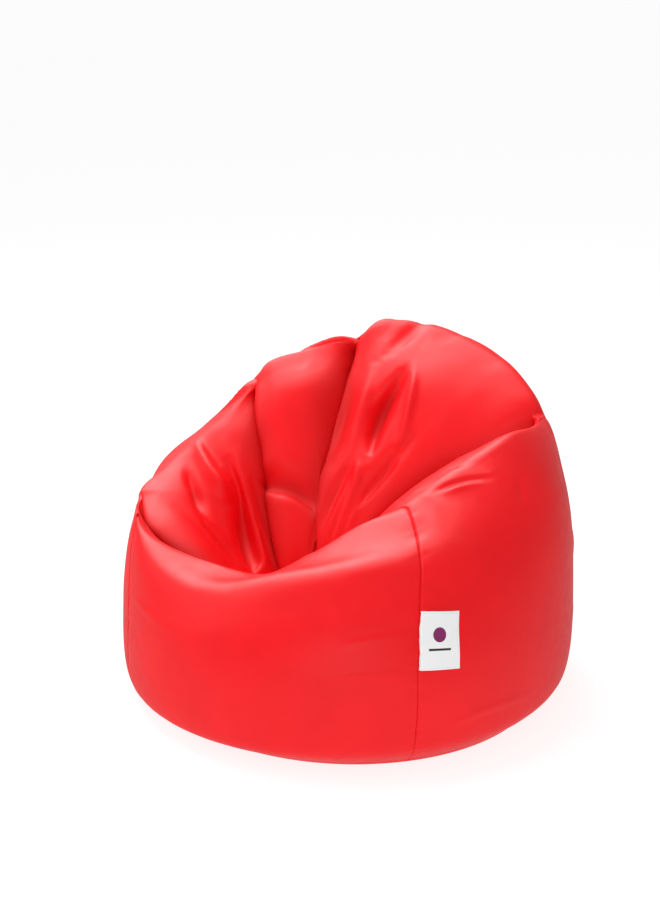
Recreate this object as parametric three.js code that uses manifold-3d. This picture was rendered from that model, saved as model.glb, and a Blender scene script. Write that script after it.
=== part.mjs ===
// Bean bag chair: a four-gore bag with a tucked-in crown, a zipped base, an inner liner and its beads.
// Millimetres. Z is up, the floor is Z = 0, and the sitter faces -Y over the low front lip.
// Bearings are in degrees seen from above: 0 is the front (-Y) and 90 is +X.
import * as THREE from 'three';
import { mergeVertices } from 'three/addons/utils/BufferGeometryUtils.js';
import Module from 'manifold-3d';

const wasm = await Module();
wasm.setup();

// ---------- driving dimensions ----------
const RAD = Math.PI / 180;
const BELLY_R = 452;
const BELLY_Z = 218;
const BELLY_TILT = 23;
// the base is slightly oval, and its corner stands higher on one side: mean, swing, and bearing of the swing
const BASE_R = { mean: 386, swing: 6, at: 69 };
const CORNER_R = { mean: 444, swing: 3.5, at: -27 };
const CORNER_Z = { mean: 50, once: 6.8, twice: 4.6 };
const CROWN = [-80, -55, 235];
// the ridge round the seat: bearing, radius, height
const RIDGE = [
  [-50, 415, 383], [-28, 331, 334], [-8, 278, 308], [12, 249, 358], [35, 240, 413], [58, 255, 453],
  [82, 285, 509], [104, 336, 549], [126, 390, 548], [146, 374, 610], [166, 346, 648], [186, 328, 673],
  [206, 321, 645], [224, 332, 612], [244, 339, 571], [262, 345, 481], [280, 386, 416], [297, 419, 391],
];
// the shoulder half way up the outside: bearing, radius, height
const SHOULDER = [
  [-50, 438, 343], [-20, 413, 276], [10, 392, 313], [40, 386, 344], [70, 388, 392], [100, 426, 425],
  [130, 431, 429], [165, 429, 482], [200, 426, 497], [235, 418, 438], [265, 443, 390], [290, 421, 350],
];
// where each station of a meridian lies along it, from the base seam (0) to the crown (1)
const STATIONS = [0, 0.13, 0.30, 0.46, 0.60, 0.67, 0.80, 0.93, 1.0];
// beyond the ridge: share of the way to the crown, and lift as a share of the drop
const DISH = [[0.14, 0.085], [0.42, 0.11], [0.74, 0.02], [0.93, -0.01]];

const GORES = 4;
const FIRST_SEAM = 47.2;
const STEPS_PER_GORE = 12;
// each seam rises straight and then leans into the crease that the seat folds along: station, bearing
const SEAMS = [
  [[0, 47.2], [0.38, 47.2], [0.45, 49], [0.52, 52], [0.6, 55], [0.68, 56], [0.8, 54], [1, 49]],
  [[0, 137.2], [0.4, 137.2], [0.5, 136], [0.572, 130], [0.64, 113], [0.7, 105], [0.77, 101], [1, 95]],
  [[0, 227.2], [0.38, 227], [0.5, 218], [0.585, 207], [0.615, 204.5], [0.69, 203], [0.76, 201], [1, 199]],
  [[0, 317.2], [0.35, 317], [0.48, 311], [0.555, 307], [0.59, 306], [0.65, 309], [0.74, 319], [1, 340]],
];
// rows of facets up the wall, closest together round the base corner and the ridge
const WALL = [0, 0.04, 0.09, 0.15, 0.22, 0.3, 0.38, 0.45, 0.51, 0.555, 0.59, 0.62, 0.65, 0.68, 0.72,
  0.77, 0.82, 0.87, 0.91, 0.945];
const WALL_TOP = WALL[WALL.length - 1];
const SKIN = 1.6;
const LINER_OUT = 3.0;
const LINER_T = 0.8;
const FILL_OUT = 5.0;
const SEAM_GAP = 0.2;

const BASE_T = 1.5;
const SLOT = { halfX: 280, halfY: 11 };
const HEM = { t: 1.5, top: 9.0 };
const TAPE = { z0: 9.3, t: 0.6, outY: 16, inY: 0.8, halfX: 288 };
const COIL = { z0: 6.7, z1: 9.0, outY: 3.6, inY: 0.8, halfX: 268, pitch: 8 };
const STOP = { x: 273, halfX: 2.5, halfY: 3.6 };
const SLIDER_X = 258;
const LABEL = { bearing: 47.4, width: 76, height: 98, z: 264, t: 0.6, lift: 0.4 };

// ---------- the bag's surface ----------
function periodic(table, bearing, column) {
  const n = table.length;
  const first = table[0][0];
  const b = (((bearing - first) % 360) + 360) % 360 + first;
  let i = n - 1;
  for (let k = 0; k < n - 1; k++) {
    if (b >= table[k][0] && b < table[k + 1][0]) {
      i = k;
      break;
    }
  }
  const at = (k) => {
    const turn = Math.floor(k / n);
    const row = table[k - turn * n];
    return [row[0] + 360 * turn, row[column]];
  };
  const [p0, p1, p2, p3] = [at(i - 1), at(i), at(i + 1), at(i + 2)];
  const h = p2[0] - p1[0];
  const u = (b - p1[0]) / h;
  const m1 = (p2[1] - p0[1]) / (p2[0] - p0[0]);
  const m2 = (p3[1] - p1[1]) / (p3[0] - p1[0]);
  return hermite(u, h, p1[1], p2[1], m1, m2);
}

function hermite(u, h, a, b, ma, mb) {
  const u2 = u * u;
  const u3 = u2 * u;
  return (2 * u3 - 3 * u2 + 1) * a + (u3 - 2 * u2 + u) * h * ma
    + (-2 * u3 + 3 * u2) * b + (u3 - u2) * h * mb;
}

function polar(bearing, r, z) {
  return [r * Math.sin(bearing * RAD), -r * Math.cos(bearing * RAD), z];
}

function oval({ mean, swing, at }, bearing) {
  return mean + swing * Math.cos(2 * (bearing - at) * RAD);
}

function baseRadius(bearing) {
  return oval(BASE_R, bearing);
}

function cornerHeight(bearing) {
  const { mean, once, twice } = CORNER_Z;
  return mean + once * Math.sin(bearing * RAD) + twice * Math.sin(2 * bearing * RAD);
}

function meridianPoints(bearing) {
  const ridge = polar(bearing, periodic(RIDGE, bearing, 1), periodic(RIDGE, bearing, 2));
  const pts = [
    polar(bearing, baseRadius(bearing), 0),
    polar(bearing, oval(CORNER_R, bearing), cornerHeight(bearing)),
    polar(bearing, BELLY_R, BELLY_Z + BELLY_TILT * Math.cos((bearing - 150) * RAD)),
    polar(bearing, periodic(SHOULDER, bearing, 1), periodic(SHOULDER, bearing, 2)),
    ridge,
  ];
  const drop = ridge[2] - CROWN[2];
  for (const [share, lift] of DISH) {
    pts.push([
      ridge[0] + share * (CROWN[0] - ridge[0]),
      ridge[1] + share * (CROWN[1] - ridge[1]),
      ridge[2] - share * drop + lift * drop,
    ]);
  }
  pts.splice(9);
  return pts;
}

// the bearing of seam k at a station
function seamAt(k, s) {
  const turns = Math.floor(k / GORES);
  const rows = SEAMS[k - turns * GORES];
  let i = 0;
  while (i < rows.length - 2 && s > rows[i + 1][0]) {
    i++;
  }
  const [[s0, b0], [s1, b1]] = [rows[i], rows[i + 1]];
  return b0 + ((b1 - b0) * (s - s0)) / (s1 - s0) + 360 * turns;
}

// where a line that starts the gore's pattern at this bearing has got to at a station
function leaning(start, s) {
  const across = ((start - FIRST_SEAM) * GORES) / 360;
  const k = Math.floor(across + 1e-9);
  return THREE.MathUtils.lerp(seamAt(k, s), seamAt(k + 1, s), across - k);
}

const meridians = new Map();
function surface(bearing, s) {
  const key = bearing.toFixed(4);
  if (!meridians.has(key)) {
    const pts = meridianPoints(bearing);
    pts[8] = CROWN.slice();
    meridians.set(key, pts);
  }
  const p = meridians.get(key);
  const n = STATIONS.length;
  let i = 0;
  while (i < n - 2 && s >= STATIONS[i + 1]) {
    i++;
  }
  const h = STATIONS[i + 1] - STATIONS[i];
  const u = (s - STATIONS[i]) / h;
  const slope = (k, c) => {
    const a = Math.max(0, k - 1);
    const b = Math.min(n - 1, k + 1);
    return (p[b][c] - p[a][c]) / (STATIONS[b] - STATIONS[a]);
  };
  return [0, 1, 2].map((c) => hermite(u, h, p[i][c], p[i + 1][c], slope(i, c), slope(i + 1, c)));
}

function outward(bearing, s) {
  const at = Math.min(s, 0.985);
  const lo = Math.max(0, at - 0.004);
  const hi = at + 0.004;
  const a = new THREE.Vector3(...surface(bearing + 0.6, at)).sub(new THREE.Vector3(...surface(bearing - 0.6, at)));
  const b = new THREE.Vector3(...surface(bearing, hi)).sub(new THREE.Vector3(...surface(bearing, lo)));
  return a.cross(b).normalize();
}

// a point of the surface moved inwards by depth, and square off its gore line by side
function skinPoint(start, s, depth, side = 0) {
  const bearing = leaning(start, s);
  const p = new THREE.Vector3(...surface(bearing, s));
  const n = outward(bearing, s);
  const [lo, hi] = [Math.max(0, s - 0.01), Math.min(0.99, s + 0.01)];
  const rising = new THREE.Vector3(...surface(leaning(start, hi), hi))
    .sub(new THREE.Vector3(...surface(leaning(start, lo), lo)));
  p.addScaledVector(n, -depth);
  p.addScaledVector(rising.cross(n).normalize(), side);
  return [p.x, p.y, p.z];
}

// ---------- solids from rows of points ----------
class Builder {
  constructor() {
    this.points = [];
    this.tris = [];
  }

  add(p) {
    this.points.push(p);
    return this.points.length - 1;
  }

  quad(a, b, c, d) {
    this.tris.push([a, b, c], [a, c, d]);
  }

  geometry() {
    const g = new THREE.BufferGeometry();
    const flat = new Float32Array(this.tris.length * 9);
    let k = 0;
    for (const tri of this.tris) {
      for (const i of tri) {
        flat.set(this.points[i], k);
        k += 3;
      }
    }
    g.setAttribute('position', new THREE.BufferAttribute(flat, 3));
    g.computeVertexNormals();
    return g;
  }
}

// a sheet over bearings and stations, thickness t below depth d0
function sheet(bearings, stations, d0, t) {
  const out = new Builder();
  const nb = bearings.length;
  const ns = stations.length;
  const layer = (depth) => bearings.map((b, i) => stations.map((s) => {
    const side = i === 0 ? SEAM_GAP : (i === nb - 1 ? -SEAM_GAP : 0);
    return out.add(skinPoint(b, s, depth, side));
  }));
  const outer = layer(d0);
  const inner = layer(d0 + t);
  for (let i = 0; i < nb - 1; i++) {
    for (let k = 0; k < ns - 1; k++) {
      out.quad(outer[i][k], outer[i + 1][k], outer[i + 1][k + 1], outer[i][k + 1]);
      out.quad(inner[i][k], inner[i][k + 1], inner[i + 1][k + 1], inner[i + 1][k]);
    }
    out.quad(outer[i + 1][0], outer[i][0], inner[i][0], inner[i + 1][0]);
    out.quad(outer[i][ns - 1], outer[i + 1][ns - 1], inner[i + 1][ns - 1], inner[i][ns - 1]);
  }
  for (let k = 0; k < ns - 1; k++) {
    out.quad(outer[0][k + 1], inner[0][k + 1], inner[0][k], outer[0][k]);
    out.quad(outer[nb - 1][k + 1], outer[nb - 1][k], inner[nb - 1][k], inner[nb - 1][k + 1]);
  }
  return out.geometry();
}

// a round patch over the crown, from station s0 inwards
function crownPatch(s0, d0, t) {
  const out = new Builder();
  const nb = GORES * STEPS_PER_GORE;
  const rings = [s0, (1 + s0) / 2];
  const layer = (depth) => ({
    rings: rings.map((s) => ringBearings().map((b) => out.add(skinPoint(b, s, depth)))),
    tip: out.add([CROWN[0], CROWN[1], CROWN[2] - depth]),
  });
  const outer = layer(d0);
  const inner = layer(d0 + t);
  for (let i = 0; i < nb; i++) {
    const j = (i + 1) % nb;
    out.quad(outer.rings[0][i], outer.rings[0][j], outer.rings[1][j], outer.rings[1][i]);
    out.tris.push([outer.rings[1][i], outer.rings[1][j], outer.tip]);
    out.quad(inner.rings[0][i], inner.rings[1][i], inner.rings[1][j], inner.rings[0][j]);
    out.tris.push([inner.rings[1][j], inner.rings[1][i], inner.tip]);
    out.quad(outer.rings[0][j], outer.rings[0][i], inner.rings[0][i], inner.rings[0][j]);
  }
  return out.geometry();
}

function ringBearings() {
  const nb = GORES * STEPS_PER_GORE;
  return Array.from({ length: nb }, (_, i) => FIRST_SEAM + (360 * i) / nb);
}

function range(n, a, b) {
  return Array.from({ length: n + 1 }, (_, i) => a + ((b - a) * i) / n);
}

function toManifold(geometry) {
  const bare = geometry.clone();
  bare.deleteAttribute('normal');
  if (bare.getAttribute('uv')) {
    bare.deleteAttribute('uv');
  }
  const merged = mergeVertices(bare, 1e-4);
  return new wasm.Manifold(new wasm.Mesh({
    numProp: 3,
    vertProperties: new Float32Array(merged.getAttribute('position').array),
    triVerts: new Uint32Array(merged.index.array),
  }));
}

function fromManifold(solid) {
  const mesh = solid.getMesh();
  const flat = new Float32Array(mesh.triVerts.length * 3);
  mesh.triVerts.forEach((v, k) => {
    flat.set(mesh.vertProperties.subarray(v * mesh.numProp, v * mesh.numProp + 3), k * 3);
  });
  const g = new THREE.BufferGeometry();
  g.setAttribute('position', new THREE.BufferAttribute(flat, 3));
  g.computeVertexNormals();
  return g;
}

function box(x0, x1, y0, y1, z0, z1) {
  const g = new THREE.BoxGeometry(x1 - x0, y1 - y0, z1 - z0);
  g.translate((x0 + x1) / 2, (y0 + y1) / 2, (z0 + z1) / 2);
  return toManifold(g);
}

function plate(outline, z0, z1) {
  const shape = new THREE.Shape(outline.map(([x, y]) => new THREE.Vector2(x, y)));
  const g = new THREE.ExtrudeGeometry(shape, { depth: z1 - z0, bevelEnabled: false });
  g.translate(0, 0, z0);
  return toManifold(g);
}

function mirroredY(solid) {
  return solid.mirror([0, 1, 0]);
}

const group = new THREE.Group();
group.name = 'bean_bag_chair';
function put(name, geometry, color, roughness, metalness = 0) {
  const mesh = new THREE.Mesh(geometry, new THREE.MeshStandardMaterial({ color, roughness, metalness }));
  mesh.name = name;
  group.add(mesh);
}
const RED = 0xe01820;
const CLOTH = 0xe8e4da;

// ---------- outer cover ----------
const goreNames = ['gore_right', 'gore_back', 'gore_left', 'gore_front'];
goreNames.forEach((name, g) => {
  const from = FIRST_SEAM + (360 / GORES) * g;
  put(name, sheet(range(STEPS_PER_GORE, from, from + 360 / GORES), WALL, 0, SKIN), RED, 0.42);
});
put('crown_cap', crownPatch(WALL_TOP + 0.0006, 0, SKIN), RED, 0.42);

// base: two halves with turned-up hems along the zip slot
function disc(inset, z0, z1) {
  return plate(ringBearings().map((b) => polar(b, baseRadius(b) - inset, 0)), z0, z1);
}
const rear = box(-500, 500, SEAM_GAP, 500, -1, 50);
const fore = box(-500, 500, -500, -SEAM_GAP, -1, 50);
const slotCut = box(-SLOT.halfX, SLOT.halfX, -SLOT.halfY, SLOT.halfY, -1, 50);
const hemBox = box(
  -SLOT.halfX - HEM.t, SLOT.halfX + HEM.t, -SLOT.halfY - HEM.t, SLOT.halfY + HEM.t, 0.5, HEM.top,
);
const base = disc(SKIN + 1.2, 0, BASE_T).add(hemBox).subtract(slotCut);
put('base_half_back', fromManifold(base.intersect(rear)), RED, 0.45);
put('base_half_front', fromManifold(base.intersect(fore)), RED, 0.45);

// ---------- zip ----------
const tape = box(-TAPE.halfX, TAPE.halfX, TAPE.inY, TAPE.outY, TAPE.z0, TAPE.z0 + TAPE.t);
put('zip_tape_back', fromManifold(tape), 0xb01018, 0.8);
put('zip_tape_front', fromManifold(mirroredY(tape)), 0xb01018, 0.8);

// a coil row: a cord with a loop at every pitch, joined into one strip
const coilOutline = [[-COIL.halfX, COIL.outY], [-COIL.halfX, COIL.outY - 1.2]];
const loops = Math.floor((2 * COIL.halfX) / COIL.pitch);
for (let i = 0; i < loops; i++) {
  const x = -COIL.halfX + i * COIL.pitch;
  coilOutline.push([x + 0.2 * COIL.pitch, COIL.inY], [x + 0.7 * COIL.pitch, COIL.inY]);
  coilOutline.push([x + 0.9 * COIL.pitch, COIL.outY - 1.2]);
}
coilOutline.push([COIL.halfX, COIL.outY - 1.2], [COIL.halfX, COIL.outY]);
const coilSolid = plate(coilOutline, COIL.z0, COIL.z1);
put('zip_coil_back', fromManifold(coilSolid), 0x991015, 0.5);
put('zip_coil_front', fromManifold(mirroredY(coilSolid)), 0x991015, 0.5);

function stop(x) {
  return box(x - STOP.halfX, x + STOP.halfX, -STOP.halfY, STOP.halfY, COIL.z0 - 0.5, COIL.z1);
}
put('zip_stop_closed_end', fromManifold(stop(STOP.x)), 0x9a9da0, 0.35, 1);
put('zip_stop_open_end', fromManifold(stop(-STOP.x)), 0x9a9da0, 0.35, 1);

// slider: two plates held apart by a thin post, side walls below the tapes, and a loop for the puller
const sx = SLIDER_X;
let slider = box(sx - 8, sx + 8, -5.6, 5.6, 4.7, 6.3);
slider = slider.add(box(sx - 8, sx + 8, 4.1, 5.6, 4.7, 8.9));
slider = slider.add(box(sx - 8, sx + 8, -5.6, -4.1, 4.7, 8.9));
slider = slider.add(box(sx - 8, sx + 8, -5.6, 5.6, 10.3, 11.7));
slider = slider.add(box(sx + 3, sx + 7, -0.45, 0.45, 4.7, 11.7));
const loop = box(sx - 5, sx + 5, -1.5, 1.5, 1.6, 5).subtract(box(sx - 3.4, sx + 3.4, -3, 3, 2.7, 4.7));
slider = slider.add(loop);
put('zip_slider', fromManifold(slider), 0x9a9da0, 0.3, 1);

// puller: a flat tab with an eye round the slider's loop, pivoting on a round bar
const px = sx - 2;
const PIN_Z = 3.7;
const bar = new THREE.CylinderGeometry(0.8, 0.8, 7.2, 16);
bar.translate(px, 0, PIN_Z);
let puller = toManifold(bar).add(box(px - 8, px + 0.6, 2.2, 3.6, 3.1, 4.3));
puller = puller.add(box(px - 8, px + 0.6, -3.6, -2.2, 3.1, 4.3));
puller = puller.add(box(px - 28, px - 7, -4.2, 4.2, 3.1, 4.3));
puller = puller.subtract(box(px - 25.5, px - 20.5, -1.6, 1.6, 0, 10));
put('zip_puller', fromManifold(puller), 0x9a9da0, 0.3, 1);

// ---------- label, sewn into the seam beside it and lying on the gore ----------
function labelSheet() {
  const out = new Builder();
  const turn = (LABEL.width / BELLY_R) / RAD;
  const bearings = range(4, LABEL.bearing, LABEL.bearing + turn);
  const rows = range(6, LABEL.z - LABEL.height / 2, LABEL.z + LABEL.height / 2);
  const station = (b, z) => {
    let lo = 0;
    let hi = 0.55;
    for (let k = 0; k < 40; k++) {
      const mid = (lo + hi) / 2;
      if (surface(b, mid)[2] < z) {
        lo = mid;
      } else {
        hi = mid;
      }
    }
    return lo;
  };
  const layer = (depth) => bearings.map((b) => rows.map((z) => out.add(skinPoint(b, station(b, z), depth))));
  const outer = layer(-LABEL.lift - LABEL.t);
  const inner = layer(-LABEL.lift);
  const nb = bearings.length;
  const ns = rows.length;
  for (let i = 0; i < nb - 1; i++) {
    for (let k = 0; k < ns - 1; k++) {
      out.quad(outer[i][k], outer[i + 1][k], outer[i + 1][k + 1], outer[i][k + 1]);
      out.quad(inner[i][k], inner[i][k + 1], inner[i + 1][k + 1], inner[i + 1][k]);
    }
    out.quad(outer[i + 1][0], outer[i][0], inner[i][0], inner[i + 1][0]);
    out.quad(outer[i][ns - 1], outer[i + 1][ns - 1], inner[i + 1][ns - 1], inner[i][ns - 1]);
  }
  for (let k = 0; k < ns - 1; k++) {
    out.quad(outer[0][k], outer[0][k + 1], inner[0][k + 1], inner[0][k]);
    out.quad(outer[nb - 1][k + 1], outer[nb - 1][k], inner[nb - 1][k], inner[nb - 1][k + 1]);
  }
  return out.geometry();
}
put('label', labelSheet(), 0xf6f6f4, 0.6);

// ---------- inner liner: two wall halves, a base over the zip and a crown patch ----------
const TUNNEL = { halfX: 296, halfY: 18, top: 13.4, t: 0.8 };
const LINER_FLOOR = BASE_T + 0.7;
const half = (GORES * STEPS_PER_GORE) / 2;
['liner_right', 'liner_left'].forEach((name, side) => {
  const from = FIRST_SEAM + 180 * side;
  const bearings = range(half, from, from + 180);
  put(name, sheet(bearings, WALL, LINER_OUT, LINER_T), CLOTH, 0.9);
});
put('liner_crown', crownPatch(WALL_TOP + 0.0006, LINER_OUT, LINER_T), CLOTH, 0.9);
function tunnel(grow, z0, z1) {
  return box(-TUNNEL.halfX - grow, TUNNEL.halfX + grow, -TUNNEL.halfY - grow, TUNNEL.halfY + grow, z0, z1);
}
const linerBase = disc(8, LINER_FLOOR, LINER_FLOOR + TUNNEL.t)
  .add(tunnel(TUNNEL.t, LINER_FLOOR, TUNNEL.top + TUNNEL.t))
  .subtract(tunnel(0, -1, TUNNEL.top));
put('liner_base', fromManifold(linerBase), CLOTH, 0.9);

// ---------- bead fill ----------
function fillSolid() {
  const out = new Builder();
  const bearings = ringBearings();
  const nb = bearings.length;
  const levels = [...WALL, (1 + WALL_TOP + 0.0006) / 2];
  const rows = levels.map((s) => bearings.map((b) => out.add(skinPoint(b, s, FILL_OUT))));
  const tip = out.add([CROWN[0], CROWN[1], CROWN[2] - FILL_OUT]);
  const floorZ = LINER_FLOOR + TUNNEL.t + 0.5;
  const rim = bearings.map((b) => out.add(polar(b, baseRadius(b) - 12, floorZ)));
  const middle = out.add([0, 0, floorZ]);
  for (let i = 0; i < nb; i++) {
    const j = (i + 1) % nb;
    for (let k = 0; k < rows.length - 1; k++) {
      out.quad(rows[k][i], rows[k][j], rows[k + 1][j], rows[k + 1][i]);
    }
    const last = rows[rows.length - 1];
    out.tris.push([last[i], last[j], tip]);
    out.quad(rim[i], rim[j], rows[0][j], rows[0][i]);
    out.tris.push([rim[j], rim[i], middle]);
  }
  return toManifold(out.geometry()).subtract(tunnel(TUNNEL.t + 0.6, 0, TUNNEL.top + TUNNEL.t + 0.6));
}
put('bead_fill', fromManifold(fillSolid()), 0xfbfbf8, 0.85);

export default group;
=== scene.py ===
import math
import bpy
import numpy as np
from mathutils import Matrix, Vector


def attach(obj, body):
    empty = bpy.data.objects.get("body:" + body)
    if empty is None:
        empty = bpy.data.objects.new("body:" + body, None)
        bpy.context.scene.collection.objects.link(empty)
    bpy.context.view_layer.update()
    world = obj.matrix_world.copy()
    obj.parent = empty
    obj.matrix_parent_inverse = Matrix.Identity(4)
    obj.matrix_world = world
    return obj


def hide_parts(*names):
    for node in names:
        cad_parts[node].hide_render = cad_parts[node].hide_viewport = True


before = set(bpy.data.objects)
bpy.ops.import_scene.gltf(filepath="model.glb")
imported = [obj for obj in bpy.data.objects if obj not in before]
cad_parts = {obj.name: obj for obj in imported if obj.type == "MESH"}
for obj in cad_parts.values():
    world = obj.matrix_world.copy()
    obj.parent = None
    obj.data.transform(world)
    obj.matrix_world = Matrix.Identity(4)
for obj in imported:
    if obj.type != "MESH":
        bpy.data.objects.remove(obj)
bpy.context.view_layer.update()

RAD = math.pi / 180

# ---------------------------------------------------------------- the bag's surface
# Bearings are in degrees from above: 0 is the front (-Y) and 90 is +X.
# s, the station, runs up the surface from the base seam (0) to the crown (1).
# the belly is the widest ring, and the crown is where the gores meet, deep in the seat
BELLY_R, BELLY_Z = .452, .218
CROWN = np.array([-.080, -.055, .235])
# the ridge round the seat and the shoulder below it: bearing, radius, height
RIDGE = np.array([
    (-50, .415, .383), (-28, .331, .334), (-8, .278, .308), (12, .249, .358), (35, .240, .413),
    (58, .255, .453), (82, .285, .509), (104, .336, .549), (126, .390, .548), (146, .374, .610),
    (166, .346, .648), (186, .328, .669), (206, .321, .645), (224, .332, .612), (244, .339, .571),
    (262, .345, .481), (280, .386, .416), (297, .419, .391)])
SHOULDER = np.array([
    (-50, .438, .343), (-20, .413, .276), (10, .392, .313), (40, .386, .344), (70, .388, .392),
    (100, .426, .425), (130, .431, .429), (165, .429, .482), (200, .426, .497), (235, .418, .438),
    (265, .443, .390), (290, .421, .350)])
STATIONS = np.array([0, .13, .30, .46, .60, .67, .80, .93, 1.0])
# the seat between ridge and crown: share of the way to the crown, and the part of the drop that is put back
DISH = ((.14, .085), (.42, .11), (.74, .02), (.93, -.01))
CAP_S = .945
# each seam rises straight and then leans into the crease that the seat folds along: station, bearing
SEAMS = [
    [(0, 46.4), (.13, 46), (.30, 46), (.38, 46.9), (.45, 49.3), (.52, 52.8), (.6, 56), (.68, 57),
     (.8, 55), (1, 49)],
    [(0, 137.2), (.4, 137.2), (.5, 136), (.572, 130), (.64, 113), (.7, 105), (.77, 101), (1, 95)],
    [(0, 227.2), (.38, 227), (.5, 218), (.585, 207), (.615, 204.5), (.69, 203), (.76, 201), (1, 199)],
    [(0, 317.2), (.35, 317), (.48, 311), (.555, 307), (.59, 306), (.65, 309), (.74, 319), (1, 340)]]


def base_radius(b):
    """Radius of the seam round the base."""
    return .386 + .006*np.cos(2*(b - 69)*RAD)


def corner(b):
    """Radius and height of the turn from the base into the side."""
    return .444 + .0035*np.cos(2*(b + 27)*RAD), .050 + .0068*np.sin(b*RAD) + .0046*np.sin(2*b*RAD)


def hermite(u, h, a, b, ma, mb):
    """A cubic from a to b over a step h, with the slopes ma and mb at its ends."""
    u2, u3 = u * u, u * u * u
    return (2*u3 - 3*u2 + 1)*a + (u3 - 2*u2 + u)*h*ma + (-2*u3 + 3*u2)*b + (u3 - u2)*h*mb


def periodic(table, b):
    """A smooth closed curve through a table's rows, looked up at the bearings b."""
    t, v = table[:, 0], table[:, 1:]
    t = np.concatenate([t[-2:] - 360, t, t[:2] + 360])
    v = np.concatenate([v[-2:], v, v[:2]])
    b = np.mod(b - table[0, 0], 360) + table[0, 0]
    i = np.clip(np.searchsorted(t, b, side='right') - 1, 1, len(t) - 3)
    m = np.zeros_like(v)
    m[1:-1] = (v[2:] - v[:-2]) / (t[2:] - t[:-2])[:, None]
    h = t[i+1] - t[i]
    u = (b - t[i]) / h
    return hermite(u[..., None], h[..., None], v[i], v[i+1], m[i], m[i+1])


def polar(b, r, z):
    return np.stack([r*np.sin(b*RAD), -r*np.cos(b*RAD), z + 0*b], -1)


def smooth_surface(b, s):
    """Points for every bearing in b (n) and every station in s (m): an n by m by 3 array."""
    rr, sh = periodic(RIDGE, b), periodic(SHOULDER, b)
    ridge = polar(b, rr[..., 0], rr[..., 1])
    pts = [polar(b, base_radius(b), 0*b),
           polar(b, *corner(b)),
           polar(b, BELLY_R + 0*b, BELLY_Z + .023*np.cos((b - 150)*RAD)),
           polar(b, sh[..., 0], sh[..., 1]),
           ridge]
    drop = ridge[:, 2:3] - CROWN[2]
    for share, lift in DISH:
        pts.append(ridge + share*(CROWN - ridge) + lift*drop*np.array([0, 0, 1.]))
    P = np.stack(pts, 1)
    P[:, 8] = CROWN
    K = STATIONS
    m = np.zeros_like(P)
    m[:, 1:-1] = (P[:, 2:] - P[:, :-2]) / (K[2:] - K[:-2])[None, :, None]
    m[:, 0] = (P[:, 1] - P[:, 0]) / (K[1] - K[0])
    m[:, -1] = (P[:, -1] - P[:, -2]) / (K[-1] - K[-2])
    i = np.clip(np.searchsorted(K, s, side='right') - 1, 0, len(K) - 2)
    h = (K[i+1] - K[i])
    u = ((s - K[i]) / h)[None, :, None]
    return hermite(u, h[None, :, None], P[:, i], P[:, i+1], m[:, i], m[:, i+1])


def spot(b, s):
    """One point of the smooth surface."""
    return smooth_surface(np.array([b]), np.array([s]))[0, 0]


def normals(P):
    a = np.roll(P, -1, 0) - np.roll(P, 1, 0)
    c = np.gradient(P, axis=1)
    n = np.cross(a, c)
    n[:, -1] = n[:, -2]
    return n / np.maximum(np.linalg.norm(n, axis=-1, keepdims=True), 1e-9)


def smoothstep(x, a=0., b=1.):
    t = np.clip((x - a) / (b - a), 0, 1)
    return t*t*(3 - 2*t)


def seam_at(k, s):
    """The bearing of seam k at stations s."""
    q = np.array(SEAMS[k % 4], float)
    fine = np.linspace(0, 1, 401)
    b = np.interp(fine, q[:, 0], q[:, 1])
    for _ in range(3):
        b = np.convolve(np.pad(b, 5, 'edge'), np.ones(11)/11, 'valid')
    return np.interp(s, fine, b) + 360*(k // 4)


def line(points):
    """A fine path on the smooth surface through (bearing, s, ...) points, and its other columns."""
    q = np.array(points, float)
    n = len(q)
    t = np.linspace(0, n - 1, (n - 1)*12 + 1)
    i = np.clip(t.astype(int), 0, n - 2)
    u = (t - i)[:, None]
    m = np.gradient(q, axis=0)
    c = hermite(u, 1., q[i], q[i+1], m[i], m[i+1])
    return np.stack([spot(bb, min(max(ss, 0), 1)) for bb, ss in c[:, :2]]), c[:, 2:]


def to_path(P, N, path):
    """For every point of P: its signed distance from a path, its place along it, and the way across it."""
    best = np.full(P.shape[:-1], 1e9)
    near = np.zeros(P.shape[:-1], int)
    for k, q in enumerate(path):
        d2 = ((P - q)**2).sum(-1)
        hit = d2 < best
        best[hit] = d2[hit]
        near[hit] = k
    dist = None
    for a in (np.maximum(near - 1, 0), np.minimum(near, len(path) - 2)):
        d = path[a + 1] - path[a]
        t = np.clip(((P - path[a])*d).sum(-1)/np.maximum((d*d).sum(-1), 1e-12), 0, 1)
        f = path[a] + t[..., None]*d
        e = np.linalg.norm(P - f, axis=-1)
        if dist is None:
            dist, along, foot = e, a + t, f
        else:
            hit = e < dist
            dist = np.where(hit, e, dist)
            along = np.where(hit, a + t, along)
            foot = np.where(hit[..., None], f, foot)
    T = np.gradient(path, axis=0)
    T = T[np.clip(np.round(along).astype(int), 0, len(path) - 1)]
    across = np.cross(N, T)
    across /= np.maximum(np.linalg.norm(across, axis=-1, keepdims=True), 1e-9)
    side = np.sign(((P - foot)*across).sum(-1))
    return dist*side, along, across


def close_to(P, path, reach):
    """Which points of P are in the path's box, widened by reach."""
    lo, hi = path.min(0) - reach, path.max(0) + reach
    return ((P > lo) & (P < hi)).all(-1)


def column(cols, along, k):
    """Column k of a path's other values, at places along it."""
    i = np.clip(along.astype(int), 0, len(cols) - 2)
    return cols[i, k] + (along - i)*(cols[i+1, k] - cols[i, k])


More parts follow.
